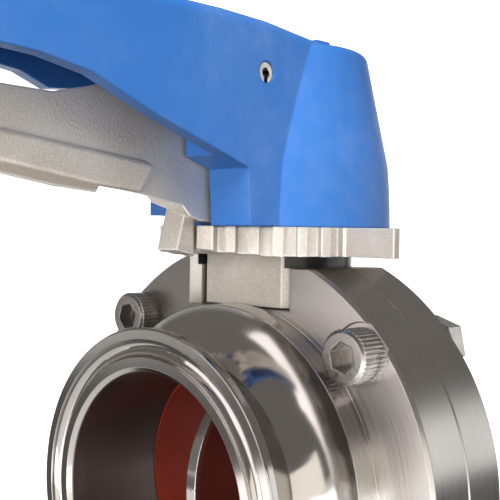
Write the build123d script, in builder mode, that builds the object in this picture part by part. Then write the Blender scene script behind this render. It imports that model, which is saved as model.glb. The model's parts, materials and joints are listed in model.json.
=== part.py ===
"""Sanitary butterfly valve with clamp ferrules and a trigger-lock handle.

Millimetres.  The origin is where the stem axis crosses the pipe axis.
The pipe runs along Y, the stem stands along +Z and the handle points along -Y,
which is the fully open position.
"""
import os
from math import radians, sin

from build123d import *

os.makedirs("parts", exist_ok=True)

# ---------------------------------------------------------------- driving dimensions
bore_radius = 23.75
ferrule_radius = 32.0
face_to_face = 69.0
flange_radius = 47.4
flange_thickness = 11.2
stem_radius = 6.0
plate_thickness = 5.5
handle_reach = 150.0
running_gap = 0.05
clearance = 0.3
fit_gap = 0.1

# ---------------------------------------------------------------- body
half_length = face_to_face / 2
hub_radius = bore_radius + 11.7
hub_end = flange_thickness + 5.2
tube_radius = bore_radius + 1.65
flare_end = hub_end + 6.0
flare_bow = (hub_end + 1.9, tube_radius + 3.3)
ferrule_land = 1.7
ferrule_slope = 20.0
ferrule_back = half_length - ferrule_land
ferrule_root = ferrule_back - (ferrule_radius - tube_radius) * sin(radians(ferrule_slope))
gasket_groove_radius = 28.2
gasket_groove_width = 1.65
edge_break = 0.6
bore_lip = 0.9
top_flat = 43.0

# ---------------------------------------------------------------- seat, disc and stem
seat_half_width = 12.0
seat_outer_radius = bore_radius + 3.75
disc_radius = bore_radius - 0.35
seat_inner_radius = disc_radius + running_gap
disc_edge_half = 1.25
disc_centre_half = 3.4
disc_edge_taper = 1.0
disc_hub_radius = stem_radius + 0.9
bush_radius = stem_radius + 3.0
bush_start = seat_outer_radius + 1.0
upper_bush_end = bush_start + 5.5
lower_bush_end = bush_start + 11.0
lower_seal_depth = 3.5
stem_square = 1.4 * stem_radius
seal_wire = 0.75
seal_gap = 0.2
square_start_rise = 1.8
stem_thread_depth = 16.0

# ---------------------------------------------------------------- index plate
collar_height = 2.5
collar_radius = 16.1
plate_bottom = top_flat + collar_height
plate_top = plate_bottom + plate_thickness
plate_radius = 24.2
notch_count = 11
notch_pitch = 9.0
notch_width = 2.3
notch_depth = 1.6
tooth_radius = plate_radius + 1.7
tooth_depth = 2.0
tooth_gap = 2.5
first_gap_angle = 18.2
gap_pitch = 10.1
gap_count = 6
tooth_sector_start = 7.2
tooth_sector_end = 90.0
lug_root = 20.0
lug_front_corner = (36.4, -8.6)
lug_rear_corner = (35.6, -5.8)
lug_root_front = -7.4
lug_root_rear = -3.6
relief_start = 18.5
relief_rim = (24.3, 0.7)
relief_edge_height = 1.7
rim_top = plate_bottom - 0.3
claw_half_width = 11.9
claw_chamfer = 1.4
claw_face = flange_thickness - 1.5
claw_depth = 2.4
claw_bottom = hub_radius - 0.4
slot_half_width = claw_half_width + 0.5
slot_corner = 1.8

# ---------------------------------------------------------------- fasteners (M6)
screw_circle = 42.0
screw_angle = 42.0
screw_radius = 3.0
screw_hole_radius = 3.3
head_radius = 5.0
head_height = 6.0
head_rim = 0.6
knurl_count = 36
knurl_radius = 0.2
head_rim_taper = 35
socket_half_flats = 2.5
socket_depth = 3.2
spotface_radius = 5.9
spotface_depth = 0.5
seat_level = flange_thickness - spotface_depth
washer_radius = 5.4
washer_thickness = 0.6
nut_half_flats = 5.0
nut_height = 4.4
screw_overhang = 1.4
screw_end = seat_level + washer_thickness + nut_height + screw_overhang

# ---------------------------------------------------------------- handle
cap_bottom = plate_top + running_gap
handle_base = plate_top + clearance
cap_radius = 23.9
cap_waist = handle_base + 12.5
cap_waist_radius = 23.3
cap_shoulder = handle_base + 33.8
cap_shoulder_radius = 18.9
cap_crown = handle_base + 35.6
handle_top = handle_base + 38.2
crown_drop = 1.6
top_edge_round = 2.5
lip_width = 28.0
lip_length = 4.0
lip_sink = 1.3
handle_half_width = 16.5
handle_wall = 3.0
web_thickness = 3.6
cheek_end = 24.9
cheek_step = handle_base + 10.2
gusset_end = 31.5
fork_half_width = 6.2
fork_back = 15.5
far_wall_start = 12.0
far_wall_rise = 2.0
far_grip_rise = 17.6
hollow_end = handle_reach - 6.0
insert_radius = 12.5
insert_top = handle_base + 24.0
access_radius = 6.5
plug_seat = handle_top - 5.0
plug_rim = 0.6
plug_rim_taper = 30
cap_screw_head_height = 4.0
cap_screw_length = 14.0
cap_screw_socket_depth = 2.4
cap_screw_socket_half_flats = 2.0
grip_end_radius = 4.0
grip_depth = 13.0
grip_end_half_width = 14.0

# ---------------------------------------------------------------- trigger lever
pivot_reach = 21.1
pivot_height = handle_base + 27.9
pin_radius = 2.0
pin_bore_radius = 0.9
pin_slit = 0.9
boss_radius = 4.6
lever_half_width = 5.5
grip_half_width = 6.6
grip_round = 1.0
grip_start = 41.0
lever_shelf = plate_top + 24.0
pawl_top = plate_top + 1.4
lever_reach = 128.0
underside_rise = 0.25
pawl_half_width = 2.7
pawl_nose_half_width = 0.95
pawl_tip = plate_radius + 2 * fit_gap
pawl_nose = 1.4
pawl_outer = 30.2
pawl_bottom = plate_bottom + 0.9
pawl_slope = 0.22
spring_reach = 34.0
spring_radius = 3.2
spring_wire = 0.5
spring_turns = 6


def body_half(side):
    """One clamp-ended half of the body; side is -1 for -Y and +1 for +Y."""
    with BuildPart() as half:
        with BuildSketch(Plane.YZ):
            with BuildLine():
                Polyline(
                    (0, seat_outer_radius),
                    (side * seat_half_width, seat_outer_radius),
                    (side * seat_half_width, bore_radius),
                    (side * (half_length - bore_lip), bore_radius),
                    (side * half_length, bore_radius + bore_lip),
                    (side * half_length, ferrule_radius - edge_break / 2),
                    (side * (half_length - edge_break / 2), ferrule_radius),
                    (side * ferrule_back, ferrule_radius),
                    (side * ferrule_root, tube_radius),
                    (side * flare_end, tube_radius),
                )
                ThreePointArc(
                    (side * flare_end, tube_radius),
                    (side * flare_bow[0], flare_bow[1]),
                    (side * hub_end, hub_radius),
                )
                Polyline(
                    (side * hub_end, hub_radius),
                    (side * flange_thickness, hub_radius),
                    (side * flange_thickness, flange_radius - edge_break),
                    (side * (flange_thickness - edge_break), flange_radius),
                    (side * edge_break / 2, flange_radius),
                    (0, flange_radius - edge_break / 2),
                    (0, seat_outer_radius),
                )
            make_face()
        revolve(axis=Axis.Y)

        # half-round gasket groove in the ferrule face
        with BuildSketch(Plane.YZ):
            with Locations((side * half_length, gasket_groove_radius)):
                Circle(gasket_groove_width)
        revolve(axis=Axis.Y, mode=Mode.SUBTRACT)

        # seat of the collar, run out towards +X, and a skim under the index plate
        with BuildSketch(Plane.XY.offset(top_flat)):
            Circle(collar_radius + 2 * fit_gap)
            with Locations((flange_radius / 2, 0)):
                Rectangle(flange_radius, 2 * flange_radius)
        extrude(amount=flange_radius, mode=Mode.SUBTRACT)
        with BuildSketch(Plane.XY.offset(rim_top)):
            Rectangle(2 * flange_radius, 2 * flange_radius)
        extrude(amount=flange_radius, mode=Mode.SUBTRACT)

        # slot for the claw of the index plate, open to the flange face
        slot_floor = claw_face - claw_depth - fit_gap
        slot_mouth = flange_thickness + fit_gap
        with BuildSketch(Plane.XY.offset(claw_bottom - clearance)):
            with BuildLine():
                Polyline(
                    (-slot_half_width, side * slot_floor),
                    (slot_half_width, side * slot_floor),
                    (slot_half_width, side * (flange_thickness - slot_corner)),
                    (slot_half_width + slot_corner, side * slot_mouth),
                    (-slot_half_width - slot_corner, side * slot_mouth),
                    (-slot_half_width, side * (flange_thickness - slot_corner)),
                    (-slot_half_width, side * slot_floor),
                )
            make_face()
        extrude(amount=flange_radius, mode=Mode.SUBTRACT)

        # stem passages: clearance through the wall, then the bush seats
        with BuildSketch(Plane.XY.offset(-bush_start)):
            Circle(stem_radius + clearance)
        extrude(amount=bush_start + flange_radius, mode=Mode.SUBTRACT)
        with BuildSketch(Plane.XY.offset(bush_start)):
            Circle(bush_radius)
        extrude(amount=upper_bush_end - bush_start, mode=Mode.SUBTRACT)
        with BuildSketch(Plane.XY.offset(-lower_bush_end)):
            Circle(bush_radius)
        extrude(amount=lower_bush_end - bush_start, mode=Mode.SUBTRACT)

        # screw holes with their spotfaces
        with BuildSketch(Plane.XZ):
            with PolarLocations(screw_circle, 4, screw_angle):
                Circle(screw_hole_radius)
        extrude(amount=flange_thickness, both=True, mode=Mode.SUBTRACT)
        with BuildSketch(Plane.XZ.offset(-side * seat_level)):
            with PolarLocations(screw_circle, 4, screw_angle):
                Circle(spotface_radius)
        extrude(amount=-side * 2 * spotface_depth, mode=Mode.SUBTRACT)
    return half


front_body_half = body_half(-1)
front_body_half.part.label = "front_body_half"

rear_body_half = body_half(1)
rear_body_half.part.label = "rear_body_half"

# Moulded seat ring, clamped between the two halves and pierced by the stem.
with BuildPart() as seat_ring:
    with BuildSketch(Plane.YZ):
        with Locations((0, (seat_inner_radius + seat_outer_radius) / 2)):
            Rectangle(2 * seat_half_width, seat_outer_radius - seat_inner_radius)
    revolve(axis=Axis.Y)
    with BuildSketch(Plane.XY.offset(-flange_radius)):
        Circle(stem_radius + running_gap)
    extrude(amount=2 * flange_radius, mode=Mode.SUBTRACT)
seat_ring.part.label = "seat_ring"

# Disc cast in one piece with its stem; the disc lies in the YZ plane when open.
square_start = plate_top + square_start_rise
stem_top = insert_top - 2 * clearance
with BuildPart() as disc_and_stem:
    with BuildSketch(Plane.XY):
        with BuildLine():
            Polyline(
                (-disc_edge_half, disc_radius),
                (-disc_edge_half, disc_radius - disc_edge_taper),
                (-disc_centre_half, disc_hub_radius),
                (-disc_centre_half, 0),
                (disc_centre_half, 0),
                (disc_centre_half, disc_hub_radius),
                (disc_edge_half, disc_radius - disc_edge_taper),
                (disc_edge_half, disc_radius),
                (-disc_edge_half, disc_radius),
            )
        make_face()
    revolve(axis=Axis.X)
    with BuildSketch(Plane.XY.offset(-disc_radius)):
        Circle(disc_hub_radius)
    extrude(amount=2 * disc_radius)
    Sphere(disc_radius, mode=Mode.INTERSECT)
    with BuildSketch(Plane.XY.offset(-lower_bush_end + 1)):
        Circle(stem_radius)
    extrude(amount=square_start + lower_bush_end - 1)
    with BuildSketch(Plane.XY.offset(square_start)):
        Rectangle(stem_square, stem_square)
    extrude(amount=stem_top - square_start)
    with BuildSketch(Plane.XY.offset(stem_top)):
        Circle(screw_radius)
    extrude(amount=-stem_thread_depth, mode=Mode.SUBTRACT)
disc_and_stem.part.label = "disc_and_stem"


def stem_bush(start, end, seal_height):
    """Plain bush round the stem with an inside groove for one seal."""
    with BuildPart() as bush:
        with BuildSketch(Plane.XY.offset(start)):
            Circle(bush_radius)
            Circle(stem_radius + running_gap, mode=Mode.SUBTRACT)
        extrude(amount=end - start)
        with BuildSketch(Plane.XY.offset(seal_height - seal_wire - seal_gap)):
            Circle(stem_radius + 2 * seal_wire + fit_gap)
        extrude(amount=2 * (seal_wire + seal_gap), mode=Mode.SUBTRACT)
    return bush


upper_seal_height = (bush_start + upper_bush_end) / 2
lower_seal_height = -(bush_start + lower_seal_depth)
seal_ring_radius = stem_radius + seal_wire + 0.02
upper_stem_bush = stem_bush(bush_start, upper_bush_end, upper_seal_height)
upper_stem_bush.part.label = "upper_stem_bush"

lower_stem_bush = stem_bush(-lower_bush_end, -bush_start, lower_seal_height)
lower_stem_bush.part.label = "lower_stem_bush"

# One round seal in each bush.
with BuildPart() as stem_seals:
    with BuildSketch(Plane.XZ):
        with Locations(
            (seal_ring_radius, upper_seal_height),
            (seal_ring_radius, lower_seal_height),
        ):
            Circle(seal_wire)
    revolve(axis=Axis.Z)
stem_seals.part.label = "stem_seals"

# Black spacer ring under the index plate, notched where the two claws go down.
with BuildPart() as stem_collar:
    with BuildSketch(Plane.XY.offset(top_flat)):
        Circle(collar_radius)
        Circle(stem_radius + running_gap, mode=Mode.SUBTRACT)
        with Locations((0, collar_radius), (0, -collar_radius)):
            Rectangle(
                2 * (claw_half_width + 2 * fit_gap),
                2 * (collar_radius - claw_face + claw_depth + fit_gap),
                mode=Mode.SUBTRACT,
            )
    extrude(amount=collar_height)
stem_collar.part.label = "stem_collar"

# Toothed plate that the pawl locks into; two claws hook it to the body.
with BuildPart() as index_plate:
    with BuildSketch(Plane.XY.offset(plate_bottom)):
        Circle(plate_radius)
        # notches for the pawl, from open round to closed
        notch_sweep = (notch_count - 1) * notch_pitch
        with PolarLocations(plate_radius, notch_count, -180, notch_sweep, endpoint=True):
            Rectangle(2 * notch_depth, notch_width, mode=Mode.SUBTRACT)
        # stop lug
        with BuildLine():
            Polyline(
                (lug_root, lug_root_front),
                lug_front_corner,
                lug_rear_corner,
                (lug_root, lug_root_rear),
                (lug_root, lug_root_front),
            )
        make_face()
    extrude(amount=plate_thickness)
    # teeth on the other side of the open position
    with BuildSketch(Plane.XY.offset(plate_bottom)):
        sector_sweep = tooth_sector_end - tooth_sector_start
        with BuildLine():
            rim = CenterArc((0, 0), tooth_radius, tooth_sector_start - 90, sector_sweep)
            Polyline(rim @ 1, (0, 0), rim @ 0)
        make_face()
        Circle(plate_radius - 1, mode=Mode.SUBTRACT)
    extrude(amount=plate_thickness)
    # the gaps between these teeth go a little into the plain rim
    with BuildSketch(Plane.XY.offset(plate_bottom)):
        gap_sweep = (gap_count - 1) * gap_pitch
        with PolarLocations(
            tooth_radius, gap_count, first_gap_angle - 90, gap_sweep, endpoint=True
        ):
            Rectangle(2 * tooth_depth, tooth_gap)
    extrude(amount=plate_thickness, mode=Mode.SUBTRACT)
    # the front of the rim is thinner, relieved from below
    with BuildSketch(Plane.YZ):
        with BuildLine():
            Polyline(
                (-tooth_radius - 1, plate_bottom - 1),
                (-tooth_radius - 1, plate_bottom + relief_edge_height),
                (-relief_rim[0], plate_bottom + relief_rim[1]),
                (-relief_start, plate_bottom),
                (-relief_start, plate_bottom - 1),
                (-tooth_radius - 1, plate_bottom - 1),
            )
        make_face()
    extrude(amount=tooth_radius, both=True, mode=Mode.SUBTRACT)
    with BuildSketch(Plane.XY.offset(plate_bottom)):
        Circle(stem_radius + clearance)
    extrude(amount=plate_thickness, mode=Mode.SUBTRACT)
    with BuildSketch(Plane.XY.offset(claw_bottom)):
        with Locations((0, claw_face - claw_depth / 2), (0, claw_depth / 2 - claw_face)):
            Rectangle(2 * claw_half_width, claw_depth)
    extrude(amount=plate_bottom - claw_bottom)
    outer_corners = edges().filter_by(Axis.Z).filter_by(
        lambda e: abs(abs(e.center().Y) - claw_face) < 0.01
        and abs(abs(e.center().X) - claw_half_width) < 0.01
    )
    chamfer(outer_corners, claw_chamfer)
index_plate.part.label = "index_plate"

# Four socket-head screws through both halves.
with BuildPart() as body_screws:
    with BuildSketch(Plane.XZ.offset(seat_level)):
        with PolarLocations(screw_circle, 4, screw_angle):
            Circle(head_radius)
            with PolarLocations(head_radius + 0.05, knurl_count):
                Circle(knurl_radius, mode=Mode.SUBTRACT)
    extrude(amount=head_height - head_rim)
    with BuildSketch(Plane.XZ.offset(seat_level + head_height - head_rim)):
        with PolarLocations(screw_circle, 4, screw_angle):
            Circle(head_radius - knurl_radius)
    extrude(amount=head_rim, taper=head_rim_taper)
    with BuildSketch(Plane.XZ.offset(seat_level + head_height)):
        with PolarLocations(screw_circle, 4, screw_angle):
            RegularPolygon(socket_half_flats, 6, major_radius=False)
    extrude(amount=-socket_depth, mode=Mode.SUBTRACT)
    with BuildSketch(Plane.XZ.offset(-screw_end)):
        with PolarLocations(screw_circle, 4, screw_angle):
            Circle(screw_radius)
    extrude(amount=screw_end + seat_level)
body_screws.part.label = "body_screws"

# Lock washers under the nuts.
with BuildPart() as body_washers:
    with BuildSketch(Plane.XZ.offset(-seat_level)):
        with PolarLocations(screw_circle, 4, screw_angle):
            Circle(washer_radius)
            Circle(screw_radius + fit_gap, mode=Mode.SUBTRACT)
    extrude(amount=-washer_thickness)
body_washers.part.label = "body_washers"

# Hexagon nuts on the far ends of the screws.
with BuildPart() as body_nuts:
    with BuildSketch(Plane.XZ.offset(-seat_level - washer_thickness)):
        with PolarLocations(screw_circle, 4, screw_angle):
            RegularPolygon(nut_half_flats, 6, major_radius=False)
            Circle(screw_radius, mode=Mode.SUBTRACT)
    extrude(amount=-nut_height)
body_nuts.part.label = "body_nuts"

# Plastic handle: a domed cap over the stem, two cheeks round the lever and a
# hollow grip that is open underneath.
with BuildPart() as handle_shell:
    # outline of cap, cheeks and grip seen from the side
    with BuildSketch(Plane.YZ):
        with BuildLine():
            Polyline(
                (0, cap_bottom),
                (-cheek_end, cap_bottom),
                (-cheek_end - 0.7, cheek_step),
                (-46.9, cheek_step + 7.4),
                (-59.7, cheek_step + 12.7),
                (-68.4, cheek_step + 14.4),
                (-76.3, handle_top - grip_depth),
                (-handle_reach + 3.0, handle_top - grip_depth + 0.4),
                (-handle_reach, handle_top - grip_depth + 3.0),
                (-handle_reach, handle_top - grip_end_radius),
            )
            RadiusArc(
                (-handle_reach, handle_top - grip_end_radius),
                (-handle_reach + grip_end_radius, handle_top),
                grip_end_radius,
            )
            Polyline(
                (-handle_reach + grip_end_radius, handle_top),
                (-gusset_end, handle_top),
                (-20, handle_top - 0.4),
                (-7, handle_top - 1.8),
                (0, handle_top - 2.3),
                (0, cap_bottom),
            )
        make_face()
    extrude(amount=handle_half_width, both=True)
    # the same seen from above: the grip narrows towards its end
    with BuildSketch(Plane.XY.offset(cap_bottom)):
        with BuildLine():
            Polyline(
                (-handle_half_width, 0),
                (-handle_half_width, -gusset_end),
                (-grip_end_half_width, -handle_reach),
                (grip_end_half_width, -handle_reach),
                (handle_half_width, -gusset_end),
                (handle_half_width, 0),
                (-handle_half_width, 0),
            )
        make_face()
    extrude(amount=handle_top, mode=Mode.INTERSECT)
    upper_long_edges = edges().filter_by(
        lambda e: abs(e.center().X) > grip_end_half_width - 0.5
        and e.center().Z > handle_top - grip_end_radius + 0.5
        and e.length > 5
    )
    fillet(upper_long_edges, top_edge_round)

    # low lip where the top of the grip meets the cap
    with BuildSketch(Plane.XY.offset(handle_top - web_thickness)):
        with Locations((0, -lip_length / 2)):
            Rectangle(lip_width, lip_length)
    extrude(amount=web_thickness - lip_sink)

    # domed cap
    with BuildSketch(Plane.XZ):
        with BuildLine():
            Polyline(
                (0, handle_top - crown_drop),
                (0, cap_bottom),
                (cap_radius, cap_bottom),
            )
            ThreePointArc(
                (cap_radius, cap_bottom),
                (cap_radius - 0.2, cap_bottom + 7.0),
                (cap_waist_radius, cap_waist),
            )
            Line((cap_waist_radius, cap_waist), (cap_shoulder_radius, cap_shoulder))
            ThreePointArc(
                (cap_shoulder_radius, cap_shoulder),
                (cap_shoulder_radius - 0.7, cap_shoulder + 1.3),
                (cap_shoulder_radius - 2.2, cap_crown),
            )
            Line((cap_shoulder_radius - 2.2, cap_crown), (0, handle_top - crown_drop))
        make_face()
    revolve(axis=Axis.Z)

    # the far wall is cut higher than the near one
    with BuildSketch(Plane.YZ.offset(-fork_half_width)):
        with BuildLine():
            Polyline(
                (-far_wall_start, cap_bottom),
                (-far_wall_start, cap_bottom + far_wall_rise),
                (-20.4, cap_bottom + far_wall_rise),
                (-20.4, cheek_step + 1.5),
                (-40.8, cheek_step + 15.0),
                (-47.7, cheek_step + 14.4),
                (-54.0, cheek_step + 16.8),
                (-60.0, cheek_step + far_grip_rise),
                (-handle_reach, cheek_step + far_grip_rise),
                (-handle_reach, cap_bottom),
                (-far_wall_start, cap_bottom),
            )
        make_face()
    extrude(amount=-cap_radius, mode=Mode.SUBTRACT)

    # fork slot for the lever, then the hollow of the grip
    with BuildSketch(Plane.XY.offset(cap_bottom)):
        with Locations((0, -(fork_back + gusset_end) / 2)):
            Rectangle(2 * fork_half_width, gusset_end - fork_back)
    extrude(amount=handle_top - web_thickness - cap_bottom, mode=Mode.SUBTRACT)
    with BuildSketch(Plane.XY.offset(cap_bottom)):
        with BuildLine():
            Polyline(
                (-handle_half_width + handle_wall, -gusset_end),
                (-grip_end_half_width + handle_wall, -hollow_end),
                (grip_end_half_width - handle_wall, -hollow_end),
                (handle_half_width - handle_wall, -gusset_end),
                (-handle_half_width + handle_wall, -gusset_end),
            )
        make_face()
    extrude(amount=handle_top - web_thickness - cap_bottom, mode=Mode.SUBTRACT)

    # socket for the drive insert, screw access and plug seat
    with BuildSketch(Plane.XY.offset(cap_bottom)):
        Circle(insert_radius)
    extrude(amount=insert_top - cap_bottom, mode=Mode.SUBTRACT)
    with BuildSketch(Plane.XY.offset(insert_top)):
        Circle(access_radius)
    extrude(amount=handle_top, mode=Mode.SUBTRACT)

    # hole for the pivot pin
    with BuildSketch(Plane.YZ.offset(-cap_radius)):
        with Locations((-pivot_reach, pivot_height)):
            Circle(pin_radius)
    extrude(amount=2 * cap_radius, mode=Mode.SUBTRACT)
handle_shell.part.label = "handle_shell"

# Metal insert that carries the torque from the handle to the stem square.
with BuildPart() as drive_insert:
    with BuildSketch(Plane.XY.offset(cap_bottom)):
        Circle(insert_radius)
        Rectangle(stem_square, stem_square, mode=Mode.SUBTRACT)
    extrude(amount=insert_top - cap_bottom)
    with BuildSketch(Plane.XY.offset(cap_bottom)):
        Circle(stem_radius + 2 * fit_gap)
    extrude(amount=square_start - cap_bottom, mode=Mode.SUBTRACT)
drive_insert.part.label = "drive_insert"

# Washer and screw that hold the handle down on the stem.
with BuildPart() as handle_washer:
    with BuildSketch(Plane.XY.offset(insert_top)):
        Circle(access_radius - 2 * fit_gap)
        Circle(screw_radius + fit_gap, mode=Mode.SUBTRACT)
    extrude(amount=washer_thickness)
handle_washer.part.label = "handle_washer"

with BuildPart() as handle_screw:
    screw_seat = insert_top + washer_thickness
    with BuildSketch(Plane.XY.offset(screw_seat)):
        Circle(head_radius)
    extrude(amount=cap_screw_head_height)
    with BuildSketch(Plane.XY.offset(screw_seat + cap_screw_head_height)):
        RegularPolygon(cap_screw_socket_half_flats, 6, major_radius=False)
    extrude(amount=-cap_screw_socket_depth, mode=Mode.SUBTRACT)
    with BuildSketch(Plane.XY.offset(screw_seat)):
        Circle(screw_radius)
    extrude(amount=-cap_screw_length)
handle_screw.part.label = "handle_screw"

# Push-in plug that closes the screw access hole.
with BuildPart() as cap_plug:
    with BuildSketch(Plane.XY.offset(plug_seat)):
        Circle(access_radius)
    extrude(amount=handle_top - crown_drop - plug_seat)
    with BuildSketch(Plane.XY.offset(handle_top - crown_drop)):
        Circle(access_radius)
    extrude(amount=plug_rim, taper=plug_rim_taper)
cap_plug.part.label = "cap_plug"

# Slotted spring pin that the lever turns on.
with BuildPart() as pivot_pin:
    with BuildSketch(Plane.YZ.offset(-handle_half_width + clearance)):
        with Locations((-pivot_reach, pivot_height)):
            Circle(pin_radius)
            Circle(pin_bore_radius, mode=Mode.SUBTRACT)
        with Locations((-pivot_reach, pivot_height - pin_radius)):
            Rectangle(pin_slit, 2 * pin_radius, mode=Mode.SUBTRACT)
    extrude(amount=2 * (handle_half_width - clearance))
pivot_pin.part.label = "pivot_pin"

# Trigger lever: arm, finger grip and the pawl that drops into the plate.
with BuildPart() as lever:
    with BuildSketch(Plane.YZ):
        with BuildLine():
            Polyline(
                (-pivot_reach + 3.6, pivot_height - 3.0),
                (-pivot_reach + 2.0, plate_top + 14.0),
                (-pivot_reach - 1.4, plate_top + 0.7),
                (-27.0, plate_top + 0.7),
                (-29.6, plate_top + 1.5),
                (-31.4, plate_top + 3.4),
                (-43.0, plate_top + 5.4),
                (-70.0, plate_top + 9.5),
                (-100.0, plate_top + 13.4),
                (-lever_reach, plate_top + 15.0),
                (-lever_reach, plate_top + 20.0),
                (-69.5, plate_top + 21.4),
                (-59.8, plate_top + 21.2),
                (-47.0, plate_top + 24.4),
                (-38.8, plate_top + 25.2),
                (-38.5, lever_shelf),
                (-30.0, lever_shelf),
                (-pivot_reach - 4.0, pivot_height + 2.2),
                (-pivot_reach + 3.6, pivot_height - 3.0),
            )
        make_face()
        with Locations((-pivot_reach, pivot_height)):
            Circle(boss_radius)
    extrude(amount=lever_half_width, both=True)

    # thicker rounded finger grip along the lower edge
    with BuildSketch(Plane.YZ):
        with BuildLine():
            Polyline(
                (-grip_start + 0.3, plate_top + 11.2),
                (-grip_start + 1.5, plate_top + 10.0),
                (-grip_start - 1.4, plate_top + 5.6),
                (-51.8, plate_top + 6.4),
                (-70.0, plate_top + 9.2),
                (-100.0, plate_top + 13.0),
                (-lever_reach + 1, plate_top + 14.6),
                (-lever_reach + 1, plate_top + 19.0),
                (-100.0, plate_top + 18.6),
                (-70.0, plate_top + 14.6),
                (-grip_start + 0.3, plate_top + 11.2),
            )
        make_face()
    extrude(amount=grip_half_width, both=True)
    grip_edges = edges().filter_by(
        lambda e: abs(abs(e.center().X) - grip_half_width) < 0.01 and e.length > 10
    )
    fillet(grip_edges, grip_round)

    # the underside rises towards the far side
    with BuildSketch(Plane.YZ.offset(grip_half_width)):
        with BuildLine():
            Polyline(
                (-pivot_reach - 1.5, plate_bottom),
                (-pivot_reach - 1.5, plate_top + 0.6),
                (-27.0, plate_top + 0.6),
                (-29.6, plate_top + 1.4),
                (-31.4, plate_top + 3.3),
                (-43.0, plate_top + 5.3),
                (-51.8, plate_top + 6.3),
                (-70.0, plate_top + 9.1),
                (-100.0, plate_top + 12.9),
                (-lever_reach - 1, plate_top + 14.5),
                (-lever_reach - 1, plate_bottom),
                (-pivot_reach - 1.5, plate_bottom),
            )
        make_face()
    extrude(amount=2 * grip_half_width, dir=(-1, 0, underside_rise), mode=Mode.SUBTRACT)

    # pawl body, then the narrow nose that enters a notch
    nose_start = pawl_tip + pawl_nose
    nose_bottom = pawl_bottom - pawl_slope * (pawl_outer - nose_start)
    tip_bottom = nose_bottom - pawl_slope * pawl_nose
    with BuildSketch(Plane.YZ):
        with BuildLine():
            Polyline(
                (-nose_start, nose_bottom),
                (-nose_start, pawl_top),
                (-28.0, plate_top + 3.6),
                (-pawl_outer, pawl_bottom),
                (-nose_start, nose_bottom),
            )
        make_face()
    extrude(amount=pawl_half_width, both=True)
    with BuildSketch(Plane.YZ):
        with BuildLine():
            Polyline(
                (-nose_start, nose_bottom),
                (-pawl_tip, tip_bottom),
                (-pawl_tip, pawl_top),
                (-nose_start, pawl_top),
                (-nose_start, nose_bottom),
            )
        make_face()
    extrude(amount=pawl_nose_half_width, both=True)

    # running hole for the pivot pin
    with BuildSketch(Plane.YZ):
        with Locations((-pivot_reach, pivot_height)):
            Circle(pin_radius + running_gap)
    extrude(amount=lever_half_width, both=True, mode=Mode.SUBTRACT)
lever.part.label = "lever"

# Return spring between the lever and the web of the handle.
spring_bottom = lever_shelf + running_gap
spring_top = handle_top - web_thickness
with BuildPart() as return_spring:
    with BuildLine(Plane((0, -spring_reach, spring_bottom + spring_wire))) as coil:
        Helix(
            pitch=(spring_top - spring_bottom - 2 * spring_wire) / spring_turns,
            height=spring_top - spring_bottom - 2 * spring_wire,
            radius=spring_radius,
        )
    with BuildSketch(Plane(coil.line @ 0, z_dir=coil.line % 0)):
        Circle(spring_wire)
    sweep(path=coil.line)
return_spring.part.label = "return_spring"

pieces = [
    front_body_half,
    rear_body_half,
    seat_ring,
    disc_and_stem,
    upper_stem_bush,
    lower_stem_bush,
    stem_seals,
    stem_collar,
    index_plate,
    body_screws,
    body_washers,
    body_nuts,
    handle_shell,
    drive_insert,
    handle_washer,
    handle_screw,
    cap_plug,
    pivot_pin,
    lever,
    return_spring,
]
for piece in pieces:
    export_step(piece.part, f"parts/{piece.part.label}.step")
    box = piece.part.bounding_box()
    print(piece.part.label, len(piece.part.solids()), box.min, box.max)
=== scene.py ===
"""Looks of a sanitary butterfly valve: materials, studio light, floor and camera.

Everything is in metres in the part's own frame: the pipe runs along Y and the stem along Z.
"""
import json
from math import cos, radians, sin

import bpy
from mathutils import Matrix, Vector


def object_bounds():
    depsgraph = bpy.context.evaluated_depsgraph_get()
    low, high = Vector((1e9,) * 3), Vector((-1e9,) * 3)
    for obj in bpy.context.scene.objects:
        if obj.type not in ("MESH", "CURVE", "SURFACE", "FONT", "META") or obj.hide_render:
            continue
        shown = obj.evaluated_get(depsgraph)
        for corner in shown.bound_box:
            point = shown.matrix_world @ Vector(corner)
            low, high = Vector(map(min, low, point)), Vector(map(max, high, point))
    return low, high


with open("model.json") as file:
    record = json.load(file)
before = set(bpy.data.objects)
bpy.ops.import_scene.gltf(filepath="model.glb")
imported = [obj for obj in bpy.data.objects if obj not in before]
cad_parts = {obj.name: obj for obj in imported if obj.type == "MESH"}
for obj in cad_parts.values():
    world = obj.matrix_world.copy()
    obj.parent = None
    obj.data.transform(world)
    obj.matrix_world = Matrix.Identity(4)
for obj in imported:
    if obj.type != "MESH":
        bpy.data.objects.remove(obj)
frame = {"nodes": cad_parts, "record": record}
bounds_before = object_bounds()
nodes = frame["nodes"]
scene = bpy.context.scene

# ---------------------------------------------------------------- camera numbers
CAMERA_AZIMUTH = radians(42.66)
CAMERA_ELEVATION = radians(-0.12)
CAMERA_ROLL = radians(0.8)
CAMERA_PLACE = Vector((0.1345, -0.1485, 0.0503))
CAMERA_LENS = 68.4
CAMERA_SHIFT = (-0.0347, -0.0432)
SENSOR_WIDTH = 36.0

# ---------------------------------------------------------------- sizes on the valve
FLOOR_HEIGHT = bounds_before[0][2]
HUB_RADIUS = 0.0355
HUB_BLEND = 0.001
BORE_RADIUS = 0.02375

# radii to which the shaders round the edges
MACHINED_EDGE = 0.0003
MOULDED_EDGE = 0.0006
CAST_EDGE = 0.0006
# edges of the casting within this radius get a painted highlight
HIGHLIGHT_EDGE = 0.0007

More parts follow.
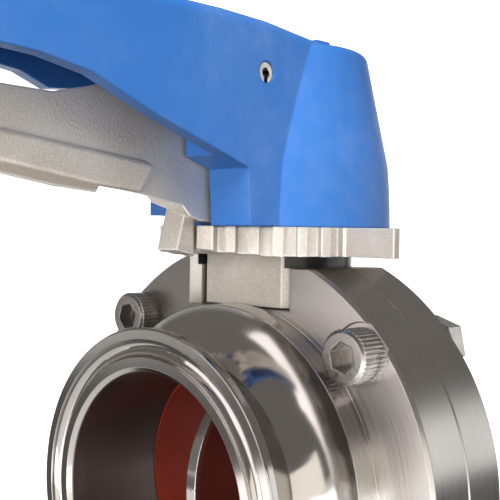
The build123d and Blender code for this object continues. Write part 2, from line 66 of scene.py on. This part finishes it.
# ---------------------------------------------------------------- colours of the valve
BODY_STEEL = (0.58, 0.56, 0.54, 1.0)
DISC_STEEL = (0.75, 0.73, 0.71, 1.0)
# dark colour painted as shade inside the bore
PAINTED_BORE_SHADE = (0.16, 0.13, 0.12, 1.0)
CAST_STEEL = (0.66, 0.62, 0.565, 1.0)
# near-white colour of the painted glints and painted edge highlights on the casting
CAST_PAINTED_GLINT = (1.0, 0.98, 0.95, 1.0)
SCREW_STEEL = (0.5, 0.48, 0.46, 1.0)
PIN_STEEL = (0.68, 0.65, 0.6, 1.0)
SPRING_STEEL = (0.5, 0.5, 0.5, 1.0)
RED_SILICONE = (0.28, 0.022, 0.007, 1.0)
WHITE_PTFE = (0.8, 0.8, 0.77, 1.0)
BLACK_RUBBER = (0.02, 0.02, 0.02, 1.0)
BLACK_PLASTIC = (0.008, 0.008, 0.009, 1.0)
BLUE_PLASTIC = (0.034, 0.17, 0.53, 1.0)
BLUE_DUST = (0.36, 0.5, 0.8, 1.0)

# ---------------------------------------------------------------- colours of the studio
WHITE = (1.0, 1.0, 1.0, 1.0)
PALE = (0.8, 0.79, 0.78, 1.0)
BLUSH = (1.0, 0.93, 0.92, 1.0)
CREAM = (1.0, 0.95, 0.86, 1.0)
SHADE = (0.1, 0.095, 0.09, 1.0)
DARK = (0.02, 0.019, 0.018, 1.0)
WARM_AIR = (1.0, 0.93, 0.88, 1.0)


def tinted(colour, shares):
    """The colour with its red, green and blue each multiplied by its own share."""
    return [value * share for value, share in zip(colour, shares)] + [1.0]


def darker(colour, share):
    """The colour with its red, green and blue all multiplied by one share."""
    return tinted(colour, (share, share, share))


# ---------------------------------------------------------------- shader helpers
class Shader:
    """A small wrapper that adds nodes to one material and links them."""

    def __init__(self, name):
        self.material = bpy.data.materials.new(name)
        self.material.use_nodes = True
        self.tree = self.material.node_tree
        self.tree.nodes.clear()
        self.output = self.add("ShaderNodeOutputMaterial")
        self.surface = self.add("ShaderNodeBsdfPrincipled")
        self.link(self.surface.outputs["BSDF"], self.output.inputs["Surface"])
        self.place = self.add("ShaderNodeTexCoord").outputs["Object"]

    def add(self, kind):
        return self.tree.nodes.new(kind)

    def link(self, source, target):
        self.tree.links.new(source, target)

    def give(self, socket, value):
        """Links value if it is a socket, or else sets it as the default."""
        if isinstance(value, bpy.types.NodeSocket):
            self.link(value, socket)
        else:
            socket.default_value = value

    def set(self, **values):
        """Sets inputs of the surface shader; underscores stand for spaces."""
        for name, value in values.items():
            self.give(self.surface.inputs[name.replace("_", " ")], value)

    def math(self, operation, first, second=0.0):
        node = self.add("ShaderNodeMath")
        node.operation = operation
        self.give(node.inputs[0], first)
        self.give(node.inputs[1], second)
        return node.outputs[0]

    def times(self, first, second):
        return self.math("MULTIPLY", first, second)

    def plus(self, first, second):
        return self.math("ADD", first, second)

    def vector(self, x, y, z):
        node = self.add("ShaderNodeCombineXYZ")
        for socket, value in zip(node.inputs, (x, y, z)):
            self.give(socket, value)
        return node.outputs[0]

    def coordinates(self):
        """x, y and z of a place on the part."""
        node = self.add("ShaderNodeSeparateXYZ")
        self.link(self.place, node.inputs[0])
        return node.outputs

    def noise(self, vector, scale, detail=2.0, roughness=0.5):
        """Smooth noise between 0 and 1; scale is the number of spots in one unit of vector."""
        node = self.add("ShaderNodeTexNoise")
        self.give(node.inputs["Vector"], vector)
        node.inputs["Scale"].default_value = scale
        node.inputs["Detail"].default_value = detail
        node.inputs["Roughness"].default_value = roughness
        return node.outputs["Fac"]

    def ramp(self, value, low, high, start=0.0, end=1.0):
        """Maps value from low..high onto start..end, held at both ends."""
        node = self.add("ShaderNodeMapRange")
        self.give(node.inputs["Value"], value)
        node.inputs["From Min"].default_value = low
        node.inputs["From Max"].default_value = high
        node.inputs["To Min"].default_value = start
        node.inputs["To Max"].default_value = end
        return node.outputs["Result"]

    def mix(self, share, first, second):
        """The first colour at a share of 0, the second at 1, and mixtures between."""
        node = self.add("ShaderNodeMix")
        node.data_type = "RGBA"
        self.give(node.inputs["Factor"], share)
        self.give(node.inputs["A"], first)
        self.give(node.inputs["B"], second)
        return node.outputs["Result"]

    def edge_normal(self, radius):
        """Normal of edges rounded to this radius."""
        node = self.add("ShaderNodeBevel")
        node.samples = 6
        node.inputs["Radius"].default_value = radius
        return node.outputs["Normal"]

    def painted_edge_highlight(self, radius):
        """Painted highlight mask: one where an edge would be rounded to this radius, zero on flat
        stretches.
        """
        node = self.add("ShaderNodeVectorMath")
        node.operation = "DOT_PRODUCT"
        self.link(self.edge_normal(radius), node.inputs[0])
        self.link(self.add("ShaderNodeNewGeometry").outputs["Normal"], node.inputs[1])
        # the painted edge highlight is full at 0.8 and gone at 0.995
        full_highlight = 0.8
        no_highlight = 0.995
        return self.ramp(node.outputs["Value"], full_highlight, no_highlight, 1.0, 0.0)

    def bump(self, height, distance, strength, normal=None):
        """Raises the surface by up to distance, on top of the given normal."""
        node = self.add("ShaderNodeBump")
        node.inputs["Distance"].default_value = distance
        node.inputs["Strength"].default_value = strength
        self.give(node.inputs["Height"], height)
        if normal is not None:
            self.link(normal, node.inputs["Normal"])
        return node.outputs["Normal"]

    def pipe_radius(self):
        """Distance from the pipe axis."""
        x, _, z = self.coordinates()
        return self.math("SQRT", self.plus(self.times(x, x), self.times(z, z)))

    def turning_direction(self):
        """Direction in which lathe marks run round the pipe axis."""
        x, _, z = self.coordinates()
        node = self.add("ShaderNodeVectorTransform")
        node.vector_type = "VECTOR"
        node.convert_from = "OBJECT"
        node.convert_to = "WORLD"
        self.link(self.vector(z, 0.0, self.times(x, -1.0)), node.inputs[0])
        return node.outputs[0]

    def turned_coordinates(self, across, around):
        """Coordinates for lathe marks round the pipe axis: fine across, long around."""
        x, y, z = self.coordinates()
        angle = self.math("ARCTAN2", z, x)
        return self.vector(
            self.times(self.pipe_radius(), across),
            self.times(y, across),
            self.times(angle, around),
        )


# ---------------------------------------------------------------- materials
def polished_steel(name, colour, roughness, bore_radius=0.0):
    """Turned stainless steel, polished near the pipe and brushed outside the hub.

    Inside bore_radius it is rougher, and dark with painted shade.
    """
    marks_across = 12000.0
    marks_around = 0.8
    brushed_ratio = 2.3
    bore_edge = bore_radius + 0.0001
    bore_blend = 0.0001
    bore_dullness = 0.25
    shader = Shader(name)
    radius = shader.pipe_radius()
    marks = shader.noise(shader.turned_coordinates(marks_across, marks_around), 1.0)
    patches = shader.noise(shader.place, 45.0, detail=3.0)
    brushed = shader.ramp(radius, HUB_RADIUS, HUB_RADIUS + HUB_BLEND, roughness, brushed_ratio * roughness)
    in_bore = shader.ramp(radius, bore_edge, bore_edge + bore_blend, 1.0, 0.0)
    dull = shader.plus(brushed, shader.times(in_bore, bore_dullness))
    wear = shader.ramp(marks, 0.3, 0.7, 0.88, 1.12)
    polished = shader.mix(shader.ramp(patches, 0.35, 0.7), colour, darker(colour, 0.88))
    shader.set(
        # painted shade: inside the bore the colour turns to the dark bore colour
        Base_Color=shader.mix(in_bore, polished, PAINTED_BORE_SHADE),
        Metallic=1.0,
        Roughness=shader.times(dull, wear),
        Anisotropic=0.7,
        Anisotropic_Rotation=0.25,
        Tangent=shader.turning_direction(),
        Normal=shader.bump(marks, 0.0000015, 0.5, shader.edge_normal(MACHINED_EDGE)),
    )
    return shader.material


def blasted_steel(name, colour):
    """Bead-blasted casting: a fine pitted skin with painted glints on its pits and a painted highlight on
    its edges.
    """
    shader = Shader(name)
    pits = shader.noise(shader.place, 4200.0, roughness=0.6)
    grain = shader.noise(shader.place, 1800.0)
    patches = shader.noise(shader.place, 60.0, detail=3.0)
    stained = shader.mix(shader.ramp(patches, 0.35, 0.65), colour, tinted(colour, (0.82, 0.79, 0.74)))
    # painted glints on the pits and painted highlights on the edges, mixed into the colour
    painted_glint = shader.math("MAXIMUM", shader.ramp(pits, 0.52, 0.72, 0.0, 0.65), shader.painted_edge_highlight(HIGHLIGHT_EDGE))
    shader.set(
        Base_Color=shader.mix(painted_glint, stained, CAST_PAINTED_GLINT),
        Metallic=0.6,
        Roughness=shader.ramp(grain, 0.3, 0.7, 0.38, 0.56),
        Specular_IOR_Level=0.6,
        Normal=shader.bump(shader.plus(pits, grain), 0.00012, 0.5, shader.edge_normal(CAST_EDGE)),
    )
    return shader.material


def plain_steel(name, colour, roughness):
    """Screws, nuts and pins: drawn steel with faint handling marks."""
    shader = Shader(name)
    marks = shader.noise(shader.place, 700.0, detail=4.0)
    patches = shader.noise(shader.place, 120.0)
    shader.set(
        Base_Color=shader.mix(shader.ramp(patches, 0.35, 0.7), colour, darker(colour, 0.75)),
        Metallic=1.0,
        Roughness=shader.ramp(marks, 0.3, 0.7, roughness * 0.8, roughness * 1.25),
        Normal=shader.bump(marks, 0.000008, 0.5, shader.edge_normal(MACHINED_EDGE)),
    )
    return shader.material


def moulded_plastic(name, colour, dusty, roughness):
    """Moulded plastic with a fine spark-eroded skin and faint dusty patches."""
    shader = Shader(name)
    skin = shader.noise(shader.place, 1800.0, detail=1.0)
    patches = shader.noise(shader.place, 38.0, detail=4.0, roughness=0.6)
    specks = shader.noise(shader.place, 300.0, detail=3.0, roughness=0.7)
    dust = shader.times(
        shader.ramp(patches, 0.42, 0.72, 0.0, 0.2),
        shader.ramp(specks, 0.35, 0.7, 0.4, 1.0),
    )
    shader.set(
        Base_Color=shader.mix(dust, colour, dusty),
        Roughness=shader.ramp(skin, 0.3, 0.7, roughness * 0.9, roughness * 1.1),
        Specular_IOR_Level=0.4,
        Normal=shader.bump(skin, 0.00002, 0.4, shader.edge_normal(MOULDED_EDGE)),
    )
    return shader.material


def soft_polymer(name, colour, roughness):
    """Silicone, rubber and PTFE: even colour with slow variation and a dull skin."""
    shader = Shader(name)
    patches = shader.noise(shader.place, 90.0, detail=3.0)
    skin = shader.noise(shader.place, 1500.0)
    shader.set(
        Base_Color=shader.mix(shader.ramp(patches, 0.3, 0.7), colour, darker(colour, 0.8)),
        Roughness=shader.ramp(skin, 0.3, 0.7, roughness * 0.85, roughness * 1.1),
        Normal=shader.bump(skin, 0.00002, 0.4),
    )
    return shader.material


slot_materials = {
    "body_steel": polished_steel("body_steel", BODY_STEEL, 0.13, BORE_RADIUS),
    "disc_steel": polished_steel("disc_steel", DISC_STEEL, 0.12),
    "cast_steel": blasted_steel("cast_steel", CAST_STEEL),
    "screw_steel": plain_steel("screw_steel", SCREW_STEEL, 0.3),
    "pin_steel": plain_steel("pin_steel", PIN_STEEL, 0.25),
    "spring_steel": plain_steel("spring_steel", SPRING_STEEL, 0.3),
    "seat_silicone": soft_polymer("seat_silicone", RED_SILICONE, 0.6),
    "bush_ptfe": soft_polymer("bush_ptfe", WHITE_PTFE, 0.45),
    "seal_rubber": soft_polymer("seal_rubber", BLACK_RUBBER, 0.55),
    "collar_black": soft_polymer("collar_black", BLACK_PLASTIC, 0.25),
    "handle_blue": moulded_plastic("handle_blue", BLUE_PLASTIC, BLUE_DUST, 0.42),
}

for piece in frame["record"]["subparts"]:
    mesh = nodes[piece["node"]].data
    mesh.materials.clear()
    mesh.materials.append(slot_materials[piece["material_slot"]])


# ---------------------------------------------------------------- studio cards
UP = (0, 0, 1)
AWAY = Vector((-sin(CAMERA_AZIMUTH), cos(CAMERA_AZIMUTH), 0.0))
LAYER_LIFT = 0.001


def above_floor(x, y, layer):
    """A place on the floor, lifted so that cards in different layers do not coincide."""
    return (x, y, FLOOR_HEIGHT + layer * LAYER_LIFT)


def stage_plane(name, place, normal, size, colour, strength=0.0):
    """A flat card facing along normal; size is its width and height; strength makes it glow."""
    bpy.ops.mesh.primitive_plane_add(size=1.0, location=place)
    card = bpy.context.object
    card.name = name
    card.scale = (size[0], size[1], 1.0)
    card.rotation_euler = Vector(normal).to_track_quat("Z", "Y").to_euler()
    shader = Shader(name)
    mottle = shader.noise(shader.place, 6.0)
    shader.set(Base_Color=shader.mix(mottle, colour, darker(colour, 0.97)), Roughness=0.8)
    if strength > 0:
        shader.set(Emission_Color=colour, Emission_Strength=strength)
    card.data.materials.append(shader.material)
    return card


def background_cards():
    """The floor, the glow on it behind the valve, and the backdrop.

    No diffuse light comes off them, so the undersides of the valve stay dark.
    """
    floor = stage_plane("floor", (0, 0, FLOOR_HEIGHT), UP, (8.0, 8.0), PALE)
    behind = AWAY * 0.87
    glow = stage_plane("floor_glow", above_floor(behind.x, behind.y, 1), UP, (1.2, 1.5), WHITE, 1.1)
    glow.rotation_euler = (0, 0, CAMERA_AZIMUTH)
    far_behind = AWAY * 1.6 + Vector((0, 0, 0.2))
    backdrop = stage_plane("backdrop", far_behind, -AWAY, (2.4, 0.72), WHITE, 1.1)
    for card in (floor, glow, backdrop):
        card.visible_diffuse = False


def reflected_card(name, place, normal, size, colour, strength=0.0):
    """A card that nothing shows but the reflections in the valve."""
    card = stage_plane(name, place, normal, size, colour, strength)
    card.visible_camera = False
    card.visible_diffuse = False
    card.visible_shadow = False


background_cards()
reflected_card("right_glow", (0.5, 0.72, 0.08), (-0.5, -0.8, 0), (0.7, 0.34), WHITE, 0.75)
reflected_card("front_glow", above_floor(-0.03, -0.38, 3), UP, (0.18, 0.45), BLUSH, 1.1)
reflected_card("front_wall", (-0.14, -0.6, 0.14), (0.1, 1, 0), (0.52, 0.38), BLUSH, 1.4)
reflected_card("right_wall", (0.42, -0.3, 0.042), (-0.8, 0.5, 0), (0.6, 0.18), CREAM, 1.2)
reflected_card("right_floor", above_floor(0.2, -0.18, 3), UP, (0.3, 0.3), WHITE, 1.7)
reflected_card("left_shade", above_floor(-0.27, -0.24, 3), UP, (0.3, 0.34), SHADE)
reflected_card("floor_shade", above_floor(0.25, 0.33, 2), UP, (0.42, 0.5), DARK)


# ---------------------------------------------------------------- light
def soft_light(name, place, target, side, power):
    """A square lamp that faces its target and makes no highlight in the metal."""
    data = bpy.data.lights.new(name, "AREA")
    data.shape = "SQUARE"
    data.size = side
    data.energy = power
    lamp = bpy.data.objects.new(name, data)
    lamp.location = place
    lamp.rotation_euler = (Vector(target) - Vector(place)).to_track_quat("-Z", "Y").to_euler()
    lamp.visible_glossy = False
    scene.collection.objects.link(lamp)


soft_light("key", (0.46, -0.36, 0.68), (0, -0.02, 0.05), 0.6, 8.8)
soft_light("left", (-0.5, -0.7, 0.3), (0, 0, 0.03), 0.4, 1.8)
soft_light("lever", (0.15, -0.4, 0.09), (0, -0.12, 0.07), 0.12, 1.1)

world = bpy.data.worlds.new("studio")
scene.world = world
world.use_nodes = True
background = world.node_tree.nodes["Background"]
background.inputs["Color"].default_value = WARM_AIR
background.inputs["Strength"].default_value = 0.2

# ---------------------------------------------------------------- camera
camera_data = bpy.data.cameras.new("camera")
camera_data.lens = CAMERA_LENS
camera_data.sensor_width = SENSOR_WIDTH
camera_data.shift_x, camera_data.shift_y = CAMERA_SHIFT
camera_data.clip_start = 0.01
camera = bpy.data.objects.new("camera", camera_data)
scene.collection.objects.link(camera)
turn = Matrix.Rotation(CAMERA_AZIMUTH, 4, "Z")
tilt = Matrix.Rotation(radians(90) - CAMERA_ELEVATION, 4, "X")
roll = Matrix.Rotation(CAMERA_ROLL, 4, "Z")
camera.matrix_world = Matrix.Translation(CAMERA_PLACE) @ turn @ tilt @ roll
scene.camera = camera

scene.view_settings.view_transform = "Standard"
